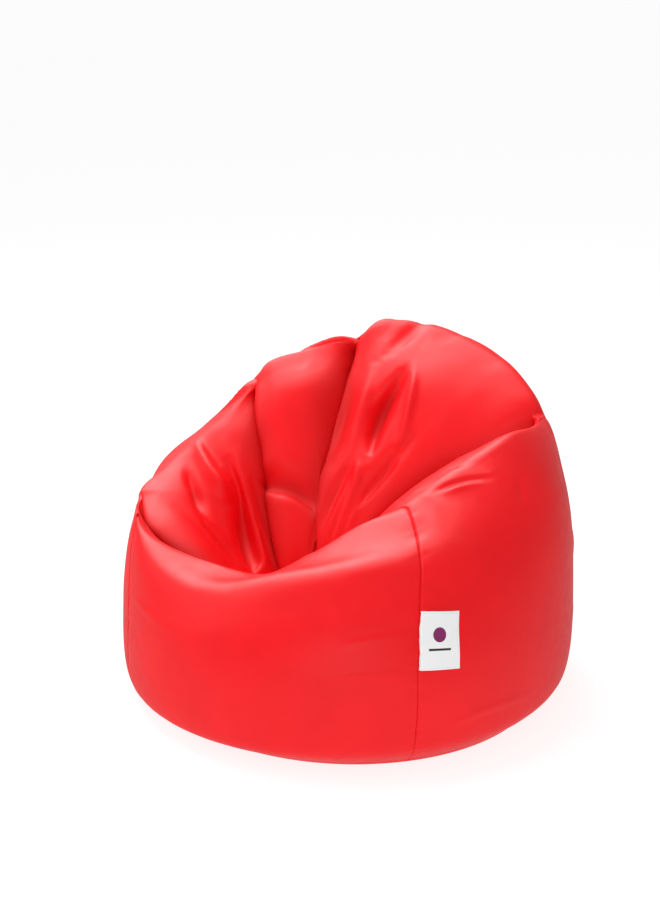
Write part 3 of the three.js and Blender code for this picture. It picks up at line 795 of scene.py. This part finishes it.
# ---------------------------------------------------------------- the label, one edge sewn into the seam
LABEL_W, LABEL_H, LABEL_Z = .076, .098, .264
SEWN_B, DROOP, THICK = 46.5, .10, .0008
lx, lz = np.linspace(0, LABEL_W, 153), LABEL_Z + np.linspace(-LABEL_H/2, LABEL_H/2, 197)
fine_s = np.linspace(.1, .55, 200)
seam_r = np.linalg.norm(sample(MASTER, np.array([SEWN_B]), np.array([.36]))[0, 0, :2])
sewn_s = np.interp(lz, sample(MASTER, np.array([SEWN_B]), fine_s)[0, :, 2], fine_s)
B = (lx/seam_r/RAD)[:, None] + (seam_at(0, sewn_s) + .2)[None]
heights = sample(MASTER, B[::19, len(lz)//2], fine_s)[..., 2]
# its free edge hangs a little
S = np.stack([np.interp(lz - DROOP*x, h, fine_s) for x, h in zip(lx[::19], heights)])
S = np.stack([np.interp(lx, lx[::19], S[:, k]) for k in range(len(lz))], 1)
P = sample(MASTER, B, S)
LN = grid_normals(P)
rise = .0006 + .0005*np.sin(lx[:, None]*48 + lz[None]*30)**2
edge = np.minimum(lx[:, None], .004)/.004
tucked = -.004*(1 - edge)**2
to_edge = [LABEL_W - lx[:, None] + 0*lz, lz - lz[0] + 0*lx[:, None], lz[-1] - lz + 0*lx[:, None]]
hem = np.maximum(0, 1 - np.minimum.reduce(to_edge)/.003)
rise = rise + tucked + .0004*hem
front, back = P + LN*(rise + THICK)[..., None], P + LN*rise[..., None]
n, m = P.shape[:2]
faces = grid_faces(n, m)
nf = len(faces)
faces += [(a + n*m, d + n*m, c + n*m, b + n*m) for a, b, c, d in faces[:nf]]
ring = [i*m for i in range(n)] + [(n - 1)*m + k for k in range(1, m)]
ring += [i*m + m - 1 for i in range(n - 2, -1, -1)] + list(range(m - 2, 0, -1))
faces += [(ring[i], ring[i - 1], ring[i - 1] + n*m, ring[i] + n*m) for i in range(len(ring))]
verts = np.concatenate([front.reshape(-1, 3), back.reshape(-1, 3)])
label = piece(mesh_object('label_tag', verts, faces), LABEL, 'label', slot='label_white')
label.data.materials.append(PLUM)
label.data.materials.append(CHARCOAL)
# a plain round mark over a plain bar, woven in
cx = (lx[:-1] + .00025)[:, None] + 0*lz[None, :-1] - LABEL_W/2
cz = (lz[:-1] + .00025)[None] + 0*lx[:-1, None] - LABEL_Z
disc = cx**2 + (cz - .012)**2 < .0125**2
bar = (np.abs(cx) < .021) & (np.abs(cz + .013) < .0022)
mark = np.where(disc, 1, np.where(bar, 2, 0))
index = np.zeros(len(faces), np.int32)
index[:nf] = mark.reshape(-1)
label.data.polygons.foreach_set('material_index', index)
inner = []
for i0, i1, fixed in ((6, n - 7, 6), (6, n - 7, m - 7)):
    inner.append(front[i0:i1, fixed] + LN[i0:i1, fixed]*.0001)
inner.append(front[n - 7, 6:m - 6] + LN[n - 7, 6:m - 6]*.0001)
pairs = [q for row in inner for q in stitch_row(row, .0036)]
piece(stitches('label_stitching', pairs, [LN[n//2, m//2]]*len(pairs), .0026, .00030), LABEL_THREAD)

# ---------------------------------------------------------------- inside: liner and beads
for name, start in (('liner_right', SEAM_B), ('liner_left', SEAM_B + 180)):
    Q = sample(LINER, start + 180*np.linspace(0, 1, 110), np.linspace(.012, CAP_S, 120))
    panel(name + '_cloth', Q, CLOTH, name, 'liner_cloth')
Q = sample(LINER, np.arange(120)*3., np.linspace(CAP_S, 1, 12))
panel('liner_crown_cloth', Q, CLOTH, 'liner_crown', 'liner_cloth', True)
# the liner's base and the beads' underside arch over the zip
ARCH_H = .0105
t = np.linspace(0, 1, 50)
b = np.arange(180)*2.
r = (base_radius(b) - .008)[:, None]*t[None]
x, y = r*np.sin(b*RAD)[:, None], -r*np.cos(b*RAD)[:, None]
arch = (1 - smoothstep(np.abs(y), .014, .032))*(1 - smoothstep(np.abs(x), .285, .310))
Q = np.stack([x, y, .0046 + ARCH_H*arch + 0*x], -1)[:, ::-1]
panel('liner_base_cloth', Q, CLOTH, 'liner_base', 'liner_cloth', True)
Q = sample(CORE, np.arange(200)*1.8, np.linspace(.03, 1, 110))
lower = Q[:, :1].copy()
shrink = np.linspace(1, 0, 24)[None, :, None]
bottom = lower*shrink
x, y = np.abs(bottom[..., 0]), np.abs(bottom[..., 1])
arch = (1 - smoothstep(y, .016, .036))*(1 - smoothstep(x, .287, .315))
bottom[..., 2] = np.maximum(.0065 + ARCH_H*arch, lower[..., 2]*smoothstep(shrink[..., 0], .93, 1.))
Q = np.concatenate([bottom[:, ::-1], Q[:, 1:]], 1)
beads = mesh_object('bead_mass', Q.reshape(-1, 3), grid_faces(200, Q.shape[1], True))
piece(beads, BEADS, 'bead_fill', slot='eps_beads')


# for each sheet, whether it is one of the round pieces; the liner's own pieces lie on the beads
for ob, Q in SHEETS.items():
    disc = ob.name in ('crown_cover', 'liner_crown_cloth', 'liner_base_cloth')

# ---------------------------------------------------------------- floor, light, camera
FLOOR_HALF, WALL_R, WALL_H = 20, 19.5, 12.
FLOOR_GLOW, WALL_GLOW, SKY_GLOW = .82, 1.0, .42


def glowing(name, grey, rough, strength):
    """A pale surface that glows, so that it stays white behind the bag."""
    mat, tree, shader = material(name, (grey, grey, grey), rough)
    shader.inputs['Emission Color'].default_value = (1, 1, 1, 1)
    shader.inputs['Emission Strength'].default_value = strength
    return mat, tree, shader


corners = [(x*FLOOR_HALF, y*FLOOR_HALF, 0) for x, y in ((-1, -1), (1, -1), (1, 1), (-1, 1))]
floor = mesh_object('floor', corners, [(0, 1, 2, 3)])
pale, pale_nodes, pale_shader = glowing('pale_floor', .30, .8, FLOOR_GLOW)
# seen from above only, so that the base shows in a view from below
under = node(pale_nodes, 'ShaderNodeNewGeometry')
clear = node(pale_nodes, 'ShaderNodeBsdfTransparent')
both = node(pale_nodes, 'ShaderNodeMixShader')
for out, into in ((under.outputs['Backfacing'], both.inputs[0]),
                  (pale_shader.outputs[0], both.inputs[1]),
                  (clear.outputs[0], both.inputs[2]),
                  (both.outputs[0], pale_nodes.nodes['Material Output'].inputs['Surface'])):
    pale_nodes.links.new(out, into)
floor.data.materials.append(pale)
floor.visible_glossy = False
# a plain pale wall all round, seen but giving no light
ring = np.array([(WALL_R*math.sin(q), -WALL_R*math.cos(q)) for q in np.arange(96)*2*math.pi/96])
wall = mesh_object('wall', [(x, y, z) for x, y in ring for z in (-.01, WALL_H)], grid_faces(96, 2, True))
wall.data.materials.append(glowing('pale_wall', .02, 1., WALL_GLOW)[0])
wall.visible_diffuse = wall.visible_glossy = wall.visible_transmission = wall.visible_shadow = False
scene = bpy.context.scene
scene.view_settings.view_transform = 'Standard'
world = bpy.data.worlds.new('studio')
world.use_nodes = True
world.node_tree.nodes['Background'].inputs[0].default_value = (1, 1, 1, 1)
world.node_tree.nodes['Background'].inputs[1].default_value = SKY_GLOW
scene.world = world


def turn_to(ob, way):
    """Turn a light's or a camera's back towards way."""
    ob.rotation_mode = 'QUATERNION'
    ob.rotation_quaternion = way.to_track_quat('Z', 'Y')


def area_light(name, place, aim, size, power, shines=True, lights=True):
    """A soft light that may be left out of the gloss (shines) or of the plain shading (lights)."""
    lamp = bpy.data.lights.new(name, 'AREA')
    lamp.shape, lamp.size, lamp.size_y = 'RECTANGLE', *size
    lamp.energy = power
    ob = bpy.data.objects.new(name, lamp)
    ob.location = place
    ob.visible_glossy, ob.visible_diffuse = shines, lights
    turn_to(ob, Vector(place) - Vector(aim))
    scene.collection.objects.link(ob)


area_light('key', place=(-2.6, -1.9, 1.8), aim=(0, 0, .3), size=(1.6, 1.6), power=24, shines=False)
area_light('fill', place=(1.6, -3.0, .9), aim=(0, 0, .3), size=(2.0, 2.0), power=32, shines=False)
area_light('overhead', place=(-1.0, .6, 2.6), aim=(0, 0, .4), size=(2.5, 2.5), power=118, lights=False)
area_light('top', place=(-.8, .2, 2.6), aim=(0, 0, .4), size=(2.0, 2.0), power=52, shines=False)
area_light('back_left', place=(-1.9, 1.2, 1.6), aim=(0, 0, .4), size=(1.4, .8), power=8)

# the photo's view: bearing from the front towards the right, elevation and distance
AZ, EL, DIST = 30*RAD, 19*RAD, 4.0
# the middle of the bag's height, and how far left of it and above it the camera is aimed
MIDDLE, AIM_LEFT, AIM_UP = Vector((0, 0, .33)), .0356, .150
SENSOR, FOCAL_LENGTH = 36, 80
away = Vector((math.sin(AZ)*math.cos(EL), -math.cos(AZ)*math.cos(EL), math.sin(EL)))
right = Vector((math.cos(AZ), math.sin(AZ), 0))
up = away.cross(right)
lens = bpy.data.cameras.new('camera')
lens.sensor_width, lens.lens = SENSOR, FOCAL_LENGTH
camera = bpy.data.objects.new('camera', lens)
camera.location = MIDDLE - right*AIM_LEFT + up*AIM_UP + away*DIST
turn_to(camera, away)
scene.collection.objects.link(camera)
scene.camera = camera
